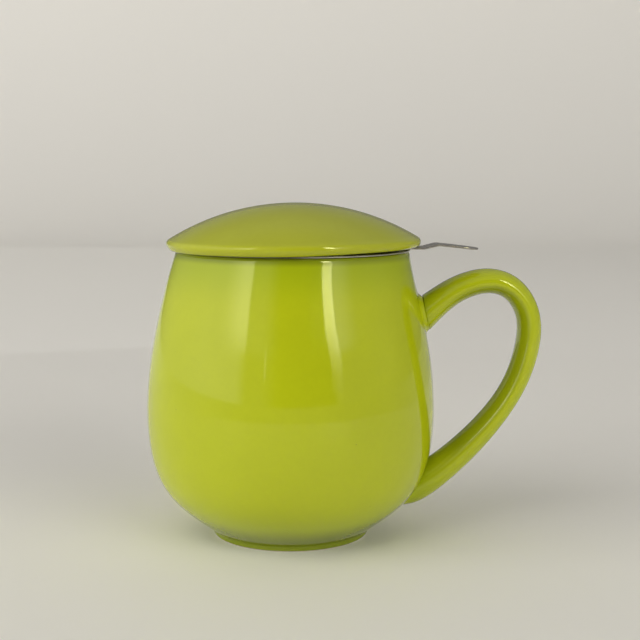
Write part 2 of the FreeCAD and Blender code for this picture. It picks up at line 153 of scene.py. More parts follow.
# --------------------------------------------------------------- mesh tools
class Shell:
    """Collects points (millimetres) and faces of one piece."""

    def __init__(self):
        self.points, self.count = [], 0
        self.faces, self.slots = [], []

    def add(self, pts):
        pts = np.atleast_2d(np.array(pts, float))
        self.points.append(pts)
        i = np.arange(self.count, self.count + len(pts))
        self.count += len(pts)
        return i

    def face(self, ring, slot=0):
        self.faces.append([int(k) for k in ring])
        self.slots.append(slot)

    def strip(self, a, b, slot=0, closed=True):
        """Quads between two rows of points with the same count."""
        n = len(a)
        for j in range(n if closed else n - 1):
            k = (j + 1) % n
            self.face((a[j], a[k], b[k], b[j]), slot)

    def fan(self, ring, centre, slot=0, flip=False):
        n = len(ring)
        for j in range(n):
            k = (j + 1) % n
            self.face((ring[k], ring[j], centre) if flip
                      else (ring[j], ring[k], centre), slot)

    def piece(self, name, materials, smooth=True):
        pts = np.concatenate(self.points) * MM
        used = np.zeros(len(pts), bool)
        for f in self.faces:
            used[f] = True
        new = np.cumsum(used) - 1
        mesh = bpy.data.meshes.new(name)
        mesh.from_pydata(pts[used].tolist(), [],
                         [[int(new[k]) for k in f] for f in self.faces])
        for m in materials:
            mesh.materials.append(m)
        mesh.polygons.foreach_set("material_index",
                                  np.array(self.slots, np.int32))
        mesh.polygons.foreach_set("use_smooth",
                                  np.full(len(self.faces), bool(smooth)))
        mesh.update()
        mesh.validate()
        o = bpy.data.objects.new(name, mesh)
        bpy.context.scene.collection.objects.link(o)
        return o


def turned(shell, outline, n, slots=None, closed_line=False, place=None):
    """Surface of revolution. The outline runs with the outside on its right."""
    t = np.arange(n) * TAU / n
    rows = []
    for r, z in outline:
        if r < 1e-9:
            p = np.array([[0.0, 0.0, z]])
        else:
            p = np.stack([r * np.cos(t), r * np.sin(t), np.full(n, z)], 1)
        rows.append(shell.add(p if place is None else place(p)))
    k = len(rows)
    for i in range(k if closed_line else k - 1):
        a, b = rows[i], rows[(i + 1) % k]
        slot = 0 if slots is None else slots[i]
        if len(a) == 1:
            shell.fan(b, a[0], slot, flip=True)
        elif len(b) == 1:
            shell.fan(a, b[0], slot)
        else:
            shell.strip(a, b, slot)
    return rows


# ---------------------------------------------------------- shader tools
def material(name):
    m = bpy.data.materials.new(name)
    m.use_nodes = True
    nt = m.node_tree
    bsdf = next(x for x in nt.nodes if x.type == "BSDF_PRINCIPLED")
    return m, nt, bsdf


def node(nt, kind, **values):
    x = nt.nodes.new(kind)
    for k, v in values.items():
        setattr(x, k, v)
    return x


def object_space(nt):
    return node(nt, "ShaderNodeTexCoord").outputs["Object"]


def noise(nt, where, scale, detail=2.0, rough=0.5, warp=0.0):
    x = node(nt, "ShaderNodeTexNoise")
    nt.links.new(where, x.inputs["Vector"])
    x.inputs["Scale"].default_value = scale
    x.inputs["Detail"].default_value = detail
    x.inputs["Roughness"].default_value = rough
    x.inputs["Distortion"].default_value = warp
    return x.outputs["Fac"]


def calc(nt, op, a, b=None, clamp=False):
    x = node(nt, "ShaderNodeMath", operation=op, use_clamp=clamp)
    for i, v in enumerate((a, b)):
        if v is None:
            continue
        if isinstance(v, (int, float)):
            x.inputs[i].default_value = v
        else:
            nt.links.new(v, x.inputs[i])
    return x.outputs[0]


def spread(nt, value, a, b, lo=0.0, hi=1.0, smooth=True):
    x = node(nt, "ShaderNodeMapRange")
    x.interpolation_type = "SMOOTHSTEP" if smooth else "LINEAR"
    nt.links.new(value, x.inputs["Value"])
    x.inputs["From Min"].default_value = a
    x.inputs["From Max"].default_value = b
    x.inputs["To Min"].default_value = lo
    x.inputs["To Max"].default_value = hi
    return x.outputs["Result"]


def blend_colour(nt, share, a, b):
    x = node(nt, "ShaderNodeMix", data_type="RGBA")
    for i, v in ((0, share), (6, a), (7, b)):
        if isinstance(v, (tuple, list)):
            x.inputs[i].default_value = (*v, 1.0)
        elif isinstance(v, (int, float)):
            x.inputs[i].default_value = v
        else:
            nt.links.new(v, x.inputs[i])
    return x.outputs[2]


def bumped(nt, height, distance, strength=1.0, under=None):
    x = node(nt, "ShaderNodeBump")
    x.inputs["Distance"].default_value = distance
    x.inputs["Strength"].default_value = strength
    nt.links.new(height, x.inputs["Height"])
    if under is not None:
        nt.links.new(under, x.inputs["Normal"])
    return x.outputs["Normal"]


def round_place(nt, where):
    """x, y, z, distance from the axis and angle about it."""
    s = node(nt, "ShaderNodeSeparateXYZ")
    nt.links.new(where, s.inputs[0])
    x, y, z = s.outputs
    rr = calc(nt, "SQRT", calc(nt, "ADD", calc(nt, "MULTIPLY", x, x),
                               calc(nt, "MULTIPLY", y, y)))
    turn = calc(nt, "ARCTAN2", y, x)
    return x, y, z, rr, turn


def vector(nt, x, y, z):
    c = node(nt, "ShaderNodeCombineXYZ")
    for i, v in enumerate((x, y, z)):
        if isinstance(v, (int, float)):
            c.inputs[i].default_value = v
        else:
            nt.links.new(v, c.inputs[i])
    return c.outputs[0]


GLAZE = (0.441, 0.494, 0.0060)
GLAZE_THIN = (0.49, 0.525, 0.042)
# painted shade: the next two colours are darker copies of the glaze for places that get less light
GLAZE_PAINTED_SHADE = (0.345, 0.415, 0.004)
GLAZE_PAINTED_DEEP_SHADE = (0.165, 0.205, 0.005)
# painted shade: the lid's glaze is a darker copy of the mug's, for the weak light from above
GLAZE_LID_SHADED = (0.394, 0.418, 0.0055)


def glaze(name, thin, deep, seed, deep_shade_mask=None, shade=GLAZE):
    """Glossy lime glaze: it breaks paler over edges, and painted shade darkens it where
    the two shade masks say. thin and deep are functions that give a mask from (nt, x, y, z, r)."""
    m, nt, bsdf = material(name)
    where = object_space(nt)
    x, y, z, rr, turn = round_place(nt, where)
    shift = node(nt, "ShaderNodeVectorMath", operation="ADD")
    nt.links.new(where, shift.inputs[0])
    shift.inputs[1].default_value = (seed, seed * 0.7, -seed)
    at = shift.outputs[0]
    cloud = noise(nt, at, 38.0, 3.0, 0.55)
    mottle = noise(nt, at, 620.0, 2.0, 0.6)
    body = blend_colour(nt, spread(nt, cloud, 0.32, 0.68),
                        tuple(0.975 * k for k in shade),
                        tuple(min(1.0, 1.02 * k) for k in shade))
    body = blend_colour(nt, spread(nt, mottle, 0.35, 0.7, 0.0, 0.10), body,
                        tuple(0.80 * k for k in shade))
    if thin is not None:
        edge = calc(nt, "MULTIPLY", thin(nt, x, y, z, rr),
                    spread(nt, noise(nt, at, 240.0, 3.0, 0.6), 0.25, 0.75, 0.55, 1.0))
        body = blend_colour(nt, edge, body, GLAZE_THIN)
    # painted shade: the deep mask darkens the glaze where less light falls
    if deep is not None:
        body = blend_colour(nt, deep(nt, x, y, z, rr), body, GLAZE_PAINTED_SHADE)
    # painted deep shade: the second shade mask darkens the glaze further
    if deep_shade_mask is not None:
        body = blend_colour(nt, deep_shade_mask(nt, x, y, z, rr), body, GLAZE_PAINTED_DEEP_SHADE)
    # sparse pinprick specks in the glaze
    cell = node(nt, "ShaderNodeTexVoronoi", feature="F1")
    nt.links.new(at, cell.inputs["Vector"])
    cell.inputs["Scale"].default_value = 210.0
    pick = node(nt, "ShaderNodeSeparateColor")
    nt.links.new(cell.outputs["Color"], pick.inputs[0])
    speck = calc(nt, "MULTIPLY",
                 spread(nt, cell.outputs["Distance"], 0.035, 0.02, 0.0, 1.0),
                 calc(nt, "GREATER_THAN", pick.outputs[0], 0.86))
    body = blend_colour(nt, calc(nt, "MULTIPLY", speck, 0.75), body,
                        (0.10, 0.095, 0.015))
    nt.links.new(body, bsdf.inputs["Base Color"])
    rough = spread(nt, noise(nt, at, 95.0, 3.0, 0.6), 0.3, 0.7, 0.045, 0.075)
    nt.links.new(rough, bsdf.inputs["Roughness"])
    bsdf.inputs["IOR"].default_value = 1.52
    bsdf.inputs["Specular IOR Level"].default_value = 0.5
    wave = bumped(nt, noise(nt, at, 42.0, 1.0, 0.4), 0.00009)
    peel = bumped(nt, noise(nt, at, 330.0, 1.0, 0.4), 0.000006, under=wave)
    pit = bumped(nt, calc(nt, "SUBTRACT", 1.0, speck), 0.00002, under=peel)
    nt.links.new(pit, bsdf.inputs["Normal"])
    return m


def bare_clay():
    """Unglazed fired body on the faces that stood on the kiln shelf."""
    m, nt, bsdf = material("bare_clay")
    where = object_space(nt)
    grain = noise(nt, where, 1500.0, 4.0, 0.65)
    stain = noise(nt, where, 60.0, 3.0, 0.6)
    c = blend_colour(nt, spread(nt, grain, 0.3, 0.75), (0.46, 0.43, 0.33),
                     (0.62, 0.58, 0.47))
    c = blend_colour(nt, spread(nt, stain, 0.5, 0.8, 0.0, 0.35), c,
                     (0.38, 0.34, 0.25))
    nt.links.new(c, bsdf.inputs["Base Color"])
    nt.links.new(spread(nt, grain, 0.2, 0.8, 0.68, 0.85), bsdf.inputs["Roughness"])
    nt.links.new(bumped(nt, grain, 0.00005), bsdf.inputs["Normal"])
    return m


def steel(name, brushed, rough_lo, rough_hi, streak, tint=None, turned_grain=True,
          aniso=0.45):
    """Stainless steel with fine brush lines round the axis or along X."""
    m, nt, bsdf = material(name)
    where = object_space(nt)
    x, y, z, rr, turn = round_place(nt, where)
    if turned_grain:
        line = vector(nt, calc(nt, "MULTIPLY", rr, 9000.0),
                      calc(nt, "MULTIPLY", z, 9000.0),
                      calc(nt, "MULTIPLY", turn, streak))
    else:
        line = vector(nt, calc(nt, "MULTIPLY", x, streak),
                      calc(nt, "MULTIPLY", y, 6500.0),
                      calc(nt, "MULTIPLY", z, 6500.0))
    brush = noise(nt, line, 1.0, 3.0, 0.6)
    cloud = noise(nt, where, 85.0, 3.0, 0.6)
    c = blend_colour(nt, spread(nt, brush, 0.3, 0.7),
                     tuple(0.90 * k for k in brushed), brushed)
    c = blend_colour(nt, spread(nt, cloud, 0.45, 0.75, 0.0, 0.25), c,
                     tuple(0.88 * k for k in brushed))
    if tint is not None:
        c = tint(nt, x, y, z, rr, turn, c)
    nt.links.new(c, bsdf.inputs["Base Color"])
    bsdf.inputs["Metallic"].default_value = 1.0
    r = calc(nt, "ADD", spread(nt, brush, 0.25, 0.75, rough_lo, rough_hi),
             spread(nt, cloud, 0.4, 0.8, 0.0, 0.05))
    nt.links.new(r, bsdf.inputs["Roughness"])
    bsdf.inputs["Anisotropic"].default_value = aniso
    if turned_grain and aniso > 0:
        tangent = node(nt, "ShaderNodeTangent", direction_type="RADIAL", axis="Z")
        nt.links.new(tangent.outputs[0], bsdf.inputs["Tangent"])
    nt.links.new(bumped(nt, brush, 0.0000035), bsdf.inputs["Normal"])
    return m


# ------------------------------------------------------------------ mug body
LIP_R, LIP_LEAN = 1.65, math.radians(8.0)
OUTER = [(24.5, 1.6), (29.24, 5.16), (41.23, 12.63), (45.51, 31.54),
         (44.93, 50.27), (41.55, 69.40), (37.658, 82.98),
         (33.65 + LIP_R * (1.0 + math.cos(LIP_LEAN)),
          87.9 + LIP_R * math.sin(LIP_LEAN))]
INNER = [(14.0, 6.3), (21.84, 6.30), (30.96, 10.33), (40.39, 22.37),
         (41.62, 39.95), (40.55, 55.87), (36.99, 71.97), (33.65, 82.60),
         (33.65, 87.9)]
outer_line = clamped_spline(OUTER)
inner_line = clamped_spline(INNER)


def wall_r(z):
    return np.interp(z, outer_line[:, 1], outer_line[:, 0])


def cone_r(z):
    return 45.1 + (39.05 - 45.1) * (np.asarray(z, float) - 58.0) / 26.0


# Handle: stations of the centre line (out, up), its direction, half thickness
# in the plane of the handle and half width across it.
HANDLE = np.array([
    (33.01, 62.19, 42.0, 6.01, 7.45), (37.43, 66.09, 40.9, 5.60, 7.40),
    (41.91, 69.92, 40.3, 4.93, 7.31), (46.46, 73.67, 37.8, 4.36, 7.19),
    (51.35, 76.96, 29.1, 4.07, 7.05), (56.77, 79.23, 15.8, 3.95, 6.89),
    (62.60, 79.97, -2.8, 3.87, 6.75), (68.18, 78.29, -31.8, 3.78, 6.64),
    (72.33, 74.16, -56.6, 3.71, 6.56), (74.60, 68.76, -77.8, 3.71, 6.50),
    (74.96, 62.89, -93.8, 3.74, 6.46), (74.05, 57.07, -103.0, 3.75, 6.44),
    (72.39, 51.42, -110.0, 3.70, 6.43), (70.02, 46.02, -117.3, 3.66, 6.44),
    (67.02, 40.95, -123.6, 3.69, 6.46), (63.55, 36.19, -128.3, 3.83, 6.49),
    (59.74, 31.69, -132.2, 4.04, 6.53), (55.65, 27.45, -135.6, 4.26, 6.60),
    (51.34, 23.43, -138.5, 4.50, 6.69), (46.80, 19.66, -142.4, 4.81, 6.80),
    (41.97, 16.29, -148.1, 5.18, 6.90), (36.72, 13.62, -159.0, 5.11, 6.98),
    (31.00, 12.31, -176.1, 3.76, 7.05)])
along = np.concatenate([[0.0], np.cumsum(np.hypot(*np.diff(HANDLE[:, :2], axis=0).T))])
hx, hz, ha, ht, hw = (cubic(along, HANDLE[:, k]) for k in range(5))
LONG = along[-1]


def handle_point(phi, s, shrink=0.0):
    """Point of the handle's skin. phi 0 is the outer side, 90 degrees is +Y."""
    phi, s = np.broadcast_arrays(np.asarray(phi, float), np.asarray(s, float))
    a = np.radians(ha(s))
    t, w = ht(s) - shrink, hw(s) - shrink
    cx, cz = hx(s), hz(s)
    return np.stack([cx - np.sin(a) * t * np.cos(phi),
                     w * np.sin(phi),
                     cz + np.cos(a) * t * np.cos(phi)], -1)


S_FINE = np.linspace(0.0, LONG, 4001)


def crossing(phi, radius_of, low):
    """Where the skin line at phi meets a round surface, near one end."""
    p = handle_point(phi, S_FINE)
    g = np.hypot(p[:, 0], p[:, 1]) - radius_of(p[:, 2])
    mid = len(S_FINE) // 2
    if low:      # lower root: from the middle to the end
        i = mid + int(np.argmax(g[mid:] < 0))
        a, b = i - 1, i
    else:        # upper root: from the middle to the start
        i = mid - int(np.argmax(g[mid::-1] < 0))
        a, b = i + 1, i
    u = g[a] / (g[a] - g[b])
    return S_FINE[a] + (S_FINE[b] - S_FINE[a]) * u


N_ROUND = 288
foot = rounded([(0.0, 1.4), (19.2, 1.4), (20.6, 0.0), (24.1, 0.0), (24.5, 0.4),
                (24.5, 1.6), tuple(outer_line[12])],
               [0, 0.6, 0.45, 0.25, 0.3, 0.7, 0], 6)
foot = split_runs(foot, 3.2)
start = outer_line[12]
rest = even(outer_line[12:], 0.98)
lip = arc((33.65 + LIP_R, 87.9), LIP_R, 8.0, 180.0, 22)
floor_in = even(inner_line[::-1], 1.7)
mug_line = np.concatenate([foot[:-1], rest, lip[1:-1], floor_in,
                           [(10.5, 6.3), (7.0, 6.3), (3.5, 6.3), (0.0, 6.3)]])
# glaze stops short of the foot: the faces there take the bare clay material
clay = []
for i in range(len(mug_line) - 1):
    (r0, z0), (r1, z1) = mug_line[i], mug_line[i + 1]
    clay.append(1 if max(z0, z1) < 0.34 and 19.9 < min(r0, r1) else 0)

body = Shell()
theta = np.arange(N_ROUND) * TAU / N_ROUND
rows = []
for r, z in mug_line:
    rows.append(body.add([[0, 0, z]] if r < 1e-9 else
                         np.stack([r * np.cos(theta), r * np.sin(theta),
                                   np.full(N_ROUND, z)], 1)))
n_foot, n_wall = len(foot) - 1, len(rest)
low_row = next(i for i in range(n_foot, n_foot + n_wall) if mug_line[i][1] > 62.3)
high_row = max(i for i in range(n_foot, n_foot + n_wall) if mug_line[i][1] < 85.2)
side = 17
for i in range(len(rows) - 1):
    a, b = rows[i], rows[i + 1]
    if len(a) == 1:
        body.fan(b, a[0], clay[i], flip=True)
    elif len(b) == 1:
        body.fan(a, b[0], clay[i])
    elif low_row <= i < high_row:
        keep = np.arange(side, N_ROUND - side + 1) % N_ROUND
        body.strip(a[keep], b[keep], clay[i], closed=False)
    else:
        body.strip(a, b, clay[i])

# The boss round the handle's upper root: the wall swells out to meet it.
cols = np.arange(-side, side + 1) % N_ROUND
loop = ([rows[low_row][k] for k in cols]
        + [rows[i][cols[-1]] for i in range(low_row + 1, high_row)]
        + [rows[high_row][k] for k in cols[::-1]]
        + [rows[i][cols[0]] for i in range(high_row - 1, low_row, -1)])
pts = np.concatenate(body.points)[loop]
loop_u = 42.0 * np.arctan2(pts[:, 1], pts[:, 0])
loop_z = pts[:, 2]

PHI = np.linspace(0.0, TAU, 721)[:-1]
s_cone = np.array([crossing(f, cone_r, False) for f in PHI])
rim = handle_point(PHI, s_cone)
rim_u, rim_z = 42.0 * np.arctan2(rim[:, 1], rim[:, 0]), rim[:, 2]
boss_z = 0.5 * (rim_z.max() + rim_z.min())
# outward direction of the outline in the unrolled wall
du = np.gradient(np.concatenate([rim_u[-2:], rim_u, rim_u[:2]]))[2:-2]
dz = np.gradient(np.concatenate([rim_z[-2:], rim_z, rim_z[:2]]))[2:-2]
nu, nz = dz.copy(), -du.copy()
flip = np.sign(np.sum(nu * rim_u + nz * (rim_z - boss_z)))
size_n = np.hypot(nu, nz)
nu, nz = nu / size_n * flip, nz / size_n * flip
up_share = np.clip(0.5 + 0.5 * nz, 0, 1)
reach = 1.9 + 2.3 * up_share ** 1.3
gap = cone_r(rim_z) - wall_r(rim_z)
EDGE_E, EDGE_R = 0.24, 0.36
start_u, start_z = rim_u + nu * reach, rim_z + nz * reach
polar = np.unwrap(np.arctan2(start_z - boss_z, start_u))
if polar[-1] < polar[0]:
    polar_k, order = polar[::-1], np.arange(len(PHI))[::-1]
else:
    polar_k, order = polar, np.arange(len(PHI))
want = np.arctan2(loop_z - boss_z, loop_u)
base_p = polar_k[0]
want = (want - base_p) % TAU + base_p
ext_p = np.concatenate([polar_k, [polar_k[0] + TAU]])
ext_i = np.concatenate([order, [order[0] + (len(PHI) if order[1] > order[0] else -len(PHI))]])
place_i = np.interp(want, ext_p, ext_i.astype(float))


def at_outline(values):
    """Values along the outline at the places that face the loop's points."""
    v = np.concatenate([values, values, values])
    return np.interp(place_i + len(PHI), np.arange(len(v)), v)


o_u, o_z = at_outline(rim_u), at_outline(rim_z)
o_nu, o_nz = at_outline(nu), at_outline(nz)
o_reach, o_gap = at_outline(reach), at_outline(gap)


def on_wall(u, z, lift):
    t = u / 42.0
    r = wall_r(z) + lift
    return np.stack([r * np.cos(t), r * np.sin(t), z], 1)


ring = np.array(loop)
a_u, a_z = o_u + o_nu * o_reach, o_z + o_nz * o_reach
for k in range(1, 7):
    f = (k / 6.0) ** 0.85
    row = body.add(on_wall(loop_u + (a_u - loop_u) * f,
                           loop_z + (a_z - loop_z) * f, 0.0))
    body.strip(ring, row)
    ring = row
slope = 2.0 * EDGE_E / EDGE_R
power = np.maximum(1.6, slope * o_reach / (o_gap - EDGE_E))
for k in range(1, 15):
    d = o_reach * (1.0 - k / 14.0)
    lift = (o_gap - EDGE_E) * (1.0 - d / o_reach) ** power
    row = body.add(on_wall(o_u + o_nu * d, o_z + o_nz * d, lift))
    body.strip(ring, row)
    ring = row
for k in range(1, 6):
    d = -EDGE_R * k / 5.0
    uu, zz = o_u + o_nu * d, o_z + o_nz * d
    lift = (cone_r(zz) - wall_r(zz)) - EDGE_E * (1.0 + d / EDGE_R) ** 2
    row = body.add(on_wall(uu, zz, lift))
    body.strip(ring, row)
    ring = row
in_u, in_z = uu, zz
for f in (0.25, 0.5, 0.75):
    uu, zz = in_u * (1 - f), in_z + (boss_z - in_z) * f
    row = body.add(on_wall(uu, zz, cone_r(zz) - wall_r(zz)))
    body.strip(ring, row)
    ring = row
body.fan(ring, body.add([[float(cone_r(boss_z)), 0.0, boss_z]])[0])


def lip_thin(nt, x, y, z, r):
    return calc(nt, "ADD", spread(nt, z, 0.0885, 0.0895, 0.0, 0.30),
                spread(nt, z, 0.0016, 0.0004, 0.0, 0.25))


def neck_and_foot_painted_shade(nt, x, y, z, r):
    """Painted shade: darker towards the foot and, more gently, up the neck under the lip."""
    neck = calc(nt, "MULTIPLY", spread(nt, z, 0.0745, 0.0875, 0.0, 1.0),
                spread(nt, r, 0.0342, 0.0352, 0.0, 1.0))
    return calc(nt, "ADD", spread(nt, z, 0.022, 0.006, 0.0, 0.55), neck, clamp=True)


def foot_and_lip_painted_shade(nt, x, y, z, r):
    """Painted shade: darkest round the foot and just under the lip's crest."""
    lip_band = calc(nt, "MULTIPLY", spread(nt, z, 0.0868, 0.0884, 0.0, 0.62),
                    spread(nt, r, 0.0352, 0.0358, 0.0, 1.0))
    return calc(nt, "ADD", spread(nt, z, 0.0110, 0.0030, 0.0, 0.85), lip_band,
                clamp=True)


# Hand-made ware: the upper neck draws in a little more than the turned
# outline, and the mouth stands a little towards the handle.
for p in body.points:
    up = np.clip((p[:, 2] - 78.0) / 10.13, 0.0, 1.0) ** 2
    far = np.hypot(p[:, 0], p[:, 1])
    k = 1.0 - 0.42 * up * np.clip((far - 35.3) / 1.634, 0.0, 1.0) / np.maximum(far, 1.0)
    p[:, 0] = p[:, 0] * k + 0.42 * up
    p[:, 1] = p[:, 1] * k

mug_glaze = glaze("mug_lime_glaze", lip_thin, neck_and_foot_painted_shade, 0.0, foot_and_lip_painted_shade)
clay_mat = bare_clay()
mug = body.piece("mug_body_glazed", [mug_glaze, clay_mat])
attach(mug, "mug")
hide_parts("mug_body")

# -------------------------------------------------------------------- handle
N_PHI = 80
ear = Shell()
phis = np.arange(N_PHI) * TAU / N_PHI
s0 = np.array([crossing(f, lambda z: cone_r(z) + 0.015, False) for f in phis])
s1 = np.array([crossing(f, lambda z: wall_r(z) + 0.01, True) for f in phis])
ends = [0.0, 0.07, 0.14, 0.22, 0.30, 0.36]
HE, HR = 0.24, 0.36
length = s1 - s0
n_mid = 104
stations = []
for e in ends:
    stations.append(s0 + e)
for k in range(1, n_mid):
    f = k / float(n_mid)
    stations.append(s0 + HR + (length - 2 * HR) * f)
for e in ends[::-1]:
    stations.append(s1 - e)
prev, first = None, None
for s in stations:
    t = np.minimum(s - s0, s1 - s)
    shrink = np.where(t < HR, HE * (1.0 - t / HR) ** 2, 0.0)
    row = ear.add(handle_point(phis, s, shrink))
    if prev is None:
        first = row
    else:
        ear.strip(row, prev)
    prev = row
last = prev


def close_on(shell, ring, radius_of, flip):
    """Closes an end with a cap that follows a round surface."""
    p = np.concatenate(shell.points)[ring]
    u, z = np.arctan2(p[:, 1], p[:, 0]), p[:, 2]
    cu, cz = 0.5 * (u.max() + u.min()), 0.5 * (z.max() + z.min())
    cur = ring
    for f in (0.3, 0.6, 0.85):
        uu, zz = u + (cu - u) * f, z + (cz - z) * f
        r = radius_of(zz)
        row = shell.add(np.stack([r * np.cos(uu), r * np.sin(uu), zz], 1))
        if flip:
            shell.strip(row, cur)
        else:
            shell.strip(cur, row)
        cur = row
    r = float(radius_of(cz))
    c = shell.add([[r * math.cos(cu), r * math.sin(cu), cz]])[0]
    shell.fan(cur, c, flip=flip)


close_on(ear, first, lambda z: cone_r(z) + 0.015, False)
close_on(ear, last, lambda z: wall_r(z) + 0.01, True)


def handle_roots_painted_shade(nt, x, y, z, r):
    # painted shade: darker near both roots, where the handle meets the body
    near_low = calc(nt, "MULTIPLY", spread(nt, z, 0.030, 0.016, 0.0, 0.6),
                    spread(nt, r, 0.052, 0.040, 0.0, 1.0))
    near_top = calc(nt, "MULTIPLY", spread(nt, z, 0.060, 0.066, 0.0, 0.45),
                    spread(nt, r, 0.0455, 0.0415, 0.0, 1.0))
    return calc(nt, "ADD", near_low, near_top, clamp=True)


def loop_inside_painted_shade(nt, x, y, z, r):
    """Painted shade: darker on the side of the loop that faces the mug."""
    facing = node(nt, "ShaderNodeTexCoord").outputs["Normal"]
    to_mug = node(nt, "ShaderNodeVectorMath", operation="NORMALIZE")
    nt.links.new(vector(nt, calc(nt, "SUBTRACT", 0.0500, x), 0.0,
                        calc(nt, "SUBTRACT", 0.0520, z)), to_mug.inputs[0])
    dot = node(nt, "ShaderNodeVectorMath", operation="DOT_PRODUCT")
    nt.links.new(facing, dot.inputs[0])
    nt.links.new(to_mug.outputs[0], dot.inputs[1])
    return calc(nt, "MULTIPLY", spread(nt, dot.outputs["Value"], 0.10, 0.62, 0.0, 0.42),
                spread(nt, x, 0.0455, 0.0540))


handle_glaze = glaze("handle_lime_glaze", None, handle_roots_painted_shade, 0.31, loop_inside_painted_shade)
handle = ear.piece("mug_handle_glazed", [handle_glaze])
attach(handle, "mug")
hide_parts("mug_handle")

# ----------------------------------------------------------------------- lid
LID_R, LID_TALL, EDGE = 39.5, 13.7, 1.49
a_ = LID_R - EDGE
b_ = LID_TALL - EDGE
dome = (a_ * a_ + b_ * b_ - EDGE * EDGE) / (2.0 * (b_ - EDGE))
dome_z = LID_TALL - dome
swing = math.degrees(math.atan2(a_, EDGE - dome_z))
inner = dome - 4.3
ceil_z = dome_z + math.sqrt(inner ** 2 - 27.2 ** 2)
half_in = math.degrees(math.asin(27.2 / inner))
under = arc((0.0, dome_z), inner, 90.0, 90.0 - half_in + 3.0, 26)
under[0][0] = 0.0
lower = rounded([tuple(under[-1]), (27.2, ceil_z), (27.2, -5.0), (30.0, -5.0),
                 (30.0, 1.5), (33.0, 1.5), (34.3, 0.0), (38.01, 0.0)],
                [0, 2.0, 1.2, 1.2, 0.7, 0.7, 0.7, 0], 6)
lower = split_runs(lower, 1.6)
edge_arc = np.concatenate([arc((a_, EDGE), EDGE, -90.0, -50.0, 14)[:-1],
                           arc((a_, EDGE), EDGE, -50.0, 90.0 - swing, 14)])
top_arc = arc((0.0, dome_z), dome, 90.0 - swing, 90.0, 58)
top_arc[-1][0] = 0.0
lid_line = np.concatenate([under[:-1], lower, edge_arc[1:], top_arc[1:]])
lid_clay = []
for i in range(len(lid_line) - 1):
    (r0, z0), (r1, z1) = lid_line[i], lid_line[i + 1]
    lid_clay.append(1 if max(z0, z1) < -4.2 and 26.5 < min(r0, r1) < 30.5 else 0)
lean = math.radians(0.65)


def seat_lid(p):
    """The lid leans a little: one side lies on the tab."""
    x = p[:, 0] * math.cos(lean) - p[:, 2] * math.sin(lean) + 0.83
    z = p[:, 0] * math.sin(lean) + p[:, 2] * math.cos(lean) + 90.57
    return np.stack([x, p[:, 1], z], 1)


def hang_rim(p):
    """The rim's lower edge hangs a little lower away from the tab."""
    r = np.hypot(p[:, 0], p[:, 1])
    t = np.abs(np.degrees(np.arctan2(p[:, 1], p[:, 0])))
    u = np.clip((t - 50.0) / 48.0, 0.0, 1.0)
    away = u * u * (3.0 - 2.0 * u)
    a = np.clip((r - 38.02) / 0.16, 0.0, 1.0)
    b = np.clip((39.5 - r) / 1.15, 0.0, 1.0)
    low = np.where(p[:, 2] < EDGE, 1.0, 0.0)
    q = p.copy()
    q[:, 2] -= 0.50 * away * a * a * (3.0 - 2.0 * a) * b * b * (3.0 - 2.0 * b) * low
    return seat_lid(q)


cover = Shell()
turned(cover, lid_line, N_ROUND, lid_clay, place=hang_rim)


def lid_thin(nt, x, y, z, r):
    return spread(nt, r, 0.0372, 0.0390, 0.0, 0.22)


lid_glaze = glaze("lid_lime_glaze", lid_thin, None, 0.77, shade=GLAZE_LID_SHADED)
lid = cover.piece("lid_glazed", [lid_glaze, clay_mat])
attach(lid, "lid")
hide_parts("lid")

# ------------------------------------------------------------- infuser rim
rim_corners = [(31.8, 86.0), (31.8, 84.2), (32.3, 84.2), (32.3, 89.6),
               (37.0, 89.6), (37.0, 90.1), (31.8, 90.1)]
loop_line = rounded(rim_corners + [(31.8, 86.0)],
                    [0, 0.12, 0.12, 0.8, 0.2, 0.2, 1.3, 0], 7)[:-1]
loop_line = split_runs(np.concatenate([loop_line, loop_line[:1]]), 1.2)[:-1]
flange = Shell()
turned(flange, loop_line, N_ROUND, closed_line=True)
STEEL = (0.60, 0.575, 0.545)


def rim_edge_painted_shade(nt, x, y, z, rr, turn, c):
    """Painted shade along the outer edge, away from the tab, under the lid's overhang."""
    m = calc(nt, "MULTIPLY", spread(nt, turn, -1.36, -1.62), spread(nt, rr, 0.0360, 0.0366))
    return blend_colour(nt, calc(nt, "MULTIPLY", m, 0.85), c, (0.10, 0.10, 0.045))


rim_steel = steel("rim_brushed_steel", STEEL, 0.20, 0.34, 3.0, tint=rim_edge_painted_shade)
rim_piece = flange.piece("infuser_rim_steel", [rim_steel])
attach(rim_piece, "infuser")
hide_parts("infuser_rim")

# ------------------------------------------------------------- lifting tab
TAB_T = 0.56
mid_line = rounded([(33.3, 90.1 + TAB_T / 2), (41.2, 90.1 + TAB_T / 2),
                    (45.6, 91.2 + TAB_T / 2), (58.4, 89.8 + TAB_T / 2)],
                   [0, 4.0, 4.0, 0], 14)
d = np.concatenate([[0.0], np.cumsum(np.hypot(*np.diff(mid_line, axis=0).T))])
tab_long = d[-1]
EASE = 0.16


def tab_half(s):
    """Half width at a distance from the heel: rounded heel and tip."""
    w = np.full_like(s, 5.5)
    h = np.clip(1.5 - s, 0, None)
    w = np.where(s < 1.5, 4.0 + np.sqrt(np.clip(1.5 ** 2 - h ** 2, 0, None)), w)
    q = np.clip(s - (tab_long - 5.3), 0, None)
    return np.where(q > 0, 0.2 + np.sqrt(np.clip(5.3 ** 2 - q ** 2, 0, None)), w)


